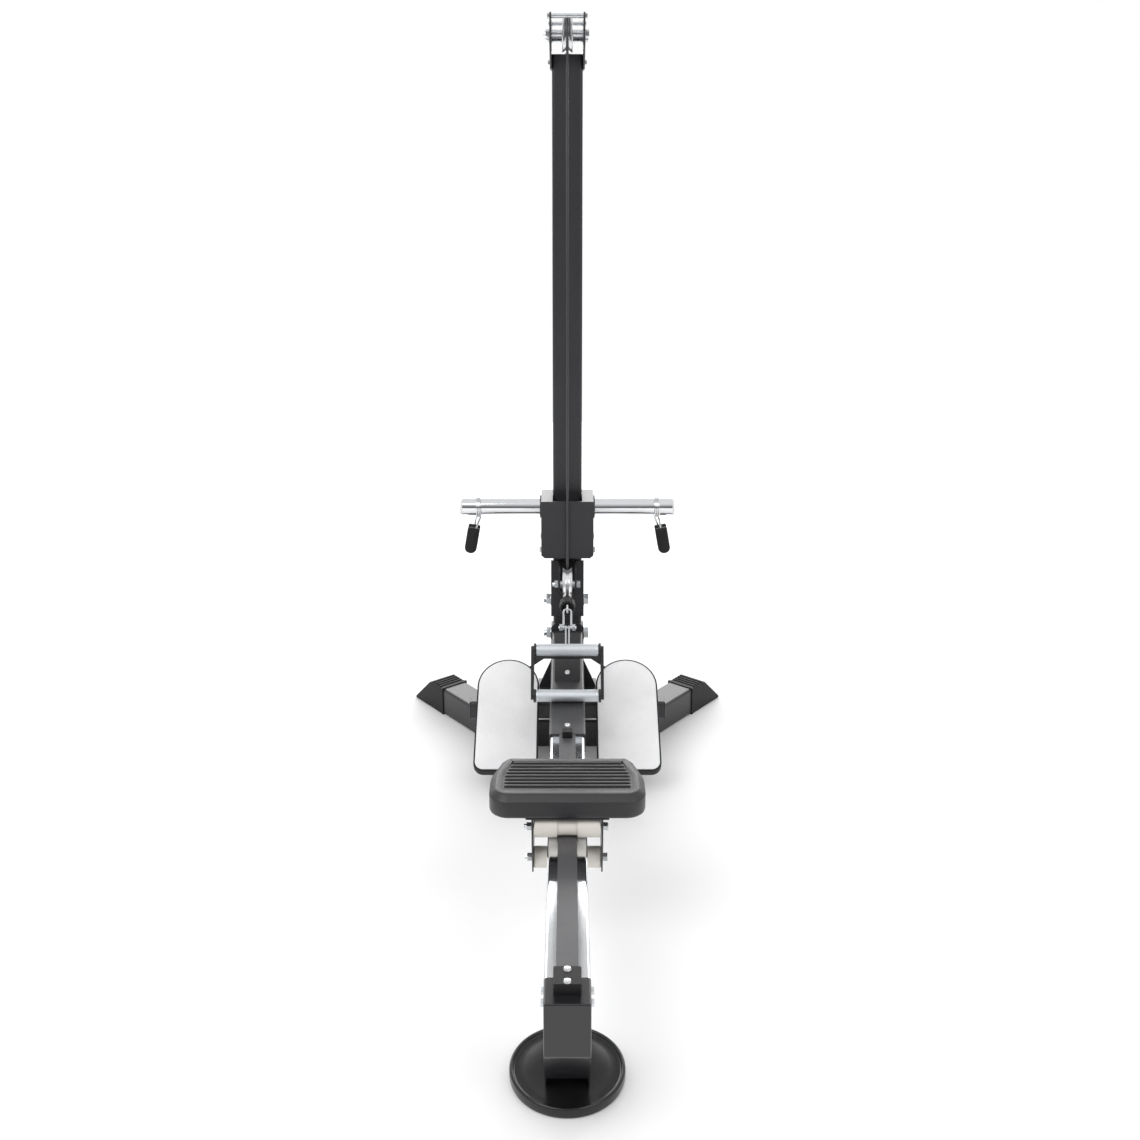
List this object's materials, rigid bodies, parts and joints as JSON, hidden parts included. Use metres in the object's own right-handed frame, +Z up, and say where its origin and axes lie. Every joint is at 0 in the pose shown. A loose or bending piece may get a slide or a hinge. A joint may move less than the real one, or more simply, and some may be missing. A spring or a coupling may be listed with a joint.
{
  "type": "seated cable row",
  "caption": "Plate-loaded seated cable row: square mast with a rising weight carriage, rolling seat on a chrome rail, foot plates and a two-grip handle.",
  "frame": {"origin": "on the floor at the middle of the machine's footprint", "axes": "+Z up, -Y towards the end with the round foot, +X to the right when looking along +Y from that end"},
  "size_m": [0.9172, 1.7601, 1.951],
  "materials": {
    "charcoal_powder_coat": "satin powder coat, charcoal",
    "black_rubber": "matt moulded rubber",
    "rail_chrome": "polished chrome plate",
    "grey_strip": "satin dark grey",
    "black_plastic": "moulded, fine texture",
    "white_zinc": "bright button heads",
    "zinc": "bright zinc plate",
    "pale_footplate": "pale grey, fine stipple",
    "pulley_aluminium": "turned and satin",
    "cable_jacket": "dark grey jacket over steel rope",
    "sleeve_chrome": "polished chrome plate",
    "white_nylon": "white nylon",
    "beige_nylon": "off-white nylon",
    "collar_spring": "chromed spring wire with black dipped handles",
    "handle_black": "satin black",
    "satin_aluminium": "satin, fine knurl",
    "seat_foam": "moulded integral skin foam, fine grain"
  },
  "bodies": {
    "frame": {"base_frame": "charcoal_powder_coat", "mast_foot": "charcoal_powder_coat", "leg_left": "charcoal_powder_coat", "leg_right": "charcoal_powder_coat", "leg_cap_left": "black_rubber", "leg_cap_right": "black_rubber", "mast": "charcoal_powder_coat", "boom": "charcoal_powder_coat", "rail": "rail_chrome", "rail_strip": "grey_strip", "front_post": "charcoal_powder_coat", "foot_disc": "black_plastic", "front_stop": "black_rubber", "rear_bumper": "black_rubber", "handle_rest": "charcoal_powder_coat", "button_screws": "white_zinc", "post_bolts": "zinc", "footplate_beam": "charcoal_powder_coat", "footplate_left": "pale_footplate", "footplate_right": "pale_footplate", "footplate_brackets": "charcoal_powder_coat", "head_plates": "charcoal_powder_coat", "pulley_spacers": "zinc", "pulley_bolts": "zinc", "pulley_bracket": "charcoal_powder_coat", "boom_yoke": "charcoal_powder_coat", "mast_bolts": "zinc", "cable": "cable_jacket"},
    "top_front_pulley": {"pulley_top_front": "pulley_aluminium"},
    "top_rear_pulley": {"pulley_top_rear": "pulley_aluminium"},
    "low_pulley": {"pulley_low": "pulley_aluminium"},
    "carriage": {"carriage_frame": "charcoal_powder_coat", "sleeve_left": "sleeve_chrome", "sleeve_right": "sleeve_chrome", "sleeve_plugs": "white_nylon", "carriage_pins": "zinc", "cable_rear_run": "cable_jacket"},
    "roller_front": {"guide_roller_front": "white_nylon"},
    "roller_rear": {"guide_roller_rear": "white_nylon"},
    "roller_left": {"guide_roller_left": "white_nylon"},
    "roller_right": {"guide_roller_right": "white_nylon"},
    "spring_collar_left": {"collar_left": "collar_spring"},
    "spring_collar_right": {"collar_right": "collar_spring"},
    "cable_end": {"cable_stopper": "black_rubber", "shackle": "zinc", "shackle_pin": "zinc", "cable_pull_run": "cable_jacket"},
    "handle": {"handle_link": "zinc", "handle_frame": "handle_black", "handle_grip_upper": "satin_aluminium", "handle_grip_lower": "satin_aluminium"},
    "seat_carriage": {"seat": "seat_foam", "seat_bracket": "charcoal_powder_coat", "seat_bolts": "zinc"},
    "wheel_near": {"seat_wheel_near": "beige_nylon"},
    "wheel_far": {"seat_wheel_far": "beige_nylon"},
    "wheel_left": {"seat_wheel_left": "beige_nylon"},
    "wheel_right": {"seat_wheel_right": "beige_nylon"}
  },
  "joints": [
    {"name": "carriage_lift", "type": "slide", "parent": "frame", "child": "carriage", "axis": [0, 0, 1], "range_m": [0, 0.95], "deforming": ["cable_rear_run"]},
    {"name": "handle_pull", "type": "slide", "parent": "frame", "child": "cable_end", "axis": [0, -0.9659, 0.2588], "range_m": [0, 0.95], "deforming": ["cable_pull_run"]},
    {"name": "handle_swing", "type": "hinge", "parent": "cable_end", "child": "handle", "pos_m": [0, 0.392, 0.405], "axis": [-1, 0, 0], "range_deg": [0, 60]},
    {"name": "seat_slide", "type": "slide", "parent": "frame", "child": "seat_carriage", "axis": [0, 1, 0], "range_m": [-0.36, 0.245]},
    {"name": "collar_left_slide", "type": "slide", "parent": "carriage", "child": "spring_collar_left", "axis": [-1, 0, 0], "range_m": [-0.14, 0.085]},
    {"name": "collar_right_slide", "type": "slide", "parent": "carriage", "child": "spring_collar_right", "axis": [1, 0, 0], "range_m": [-0.14, 0.085]},
    {"name": "top_front_pulley_spin", "type": "hinge", "parent": "frame", "child": "top_front_pulley", "pos_m": [0, 0.648, 1.902], "axis": [1, 0, 0], "continuous": true},
    {"name": "top_rear_pulley_spin", "type": "hinge", "parent": "frame", "child": "top_rear_pulley", "pos_m": [0, 0.791, 1.902], "axis": [1, 0, 0], "continuous": true},
    {"name": "low_pulley_spin", "type": "hinge", "parent": "frame", "child": "low_pulley", "pos_m": [0, 0.562, 0.461], "axis": [1, 0, 0], "continuous": true},
    {"name": "roller_front_spin", "type": "hinge", "parent": "carriage", "child": "roller_front", "pos_m": [0, 0.65695, 0.528], "axis": [1, 0, 0], "continuous": true},
    {"name": "roller_rear_spin", "type": "hinge", "parent": "carriage", "child": "roller_rear", "pos_m": [0, 0.77705, 0.528], "axis": [1, 0, 0], "continuous": true},
    {"name": "roller_left_spin", "type": "hinge", "parent": "carriage", "child": "roller_left", "pos_m": [-0.05605, 0.717, 0.622], "axis": [0, 1, 0], "continuous": true},
    {"name": "roller_right_spin", "type": "hinge", "parent": "carriage", "child": "roller_right", "pos_m": [0.05605, 0.717, 0.622], "axis": [0, 1, 0], "continuous": true},
    {"name": "wheel_near_spin", "type": "hinge", "parent": "seat_carriage", "child": "wheel_near", "pos_m": [0, -0.382, 0.2978], "axis": [1, 0, 0], "continuous": true},
    {"name": "wheel_far_spin", "type": "hinge", "parent": "seat_carriage", "child": "wheel_far", "pos_m": [0, -0.268, 0.2978], "axis": [1, 0, 0], "continuous": true},
    {"name": "wheel_left_spin", "type": "hinge", "parent": "seat_carriage", "child": "wheel_left", "pos_m": [-0.0505, -0.358, 0.2135], "axis": [1, 0, 0], "continuous": true},
    {"name": "wheel_right_spin", "type": "hinge", "parent": "seat_carriage", "child": "wheel_right", "pos_m": [0.0505, -0.358, 0.2135], "axis": [1, 0, 0], "continuous": true}
  ],
  "couplings": [
    {"joint": "handle_pull", "follows": "carriage_lift", "ratio": 1},
    {"joint": "top_front_pulley_spin", "follows": "carriage_lift", "rad_per_m": 23.256},
    {"joint": "top_rear_pulley_spin", "follows": "carriage_lift", "rad_per_m": 23.256},
    {"joint": "low_pulley_spin", "follows": "carriage_lift", "rad_per_m": -23.256},
    {"joint": "roller_front_spin", "follows": "carriage_lift", "rad_per_m": -50.761},
    {"joint": "roller_rear_spin", "follows": "carriage_lift", "rad_per_m": 50.761},
    {"joint": "roller_left_spin", "follows": "carriage_lift", "rad_per_m": 63.694},
    {"joint": "roller_right_spin", "follows": "carriage_lift", "rad_per_m": -63.694},
    {"joint": "wheel_near_spin", "follows": "seat_slide", "rad_per_m": -46.512},
    {"joint": "wheel_far_spin", "follows": "seat_slide", "rad_per_m": -46.512},
    {"joint": "wheel_left_spin", "follows": "seat_slide", "rad_per_m": 46.512},
    {"joint": "wheel_right_spin", "follows": "seat_slide", "rad_per_m": 46.512}
  ]
}
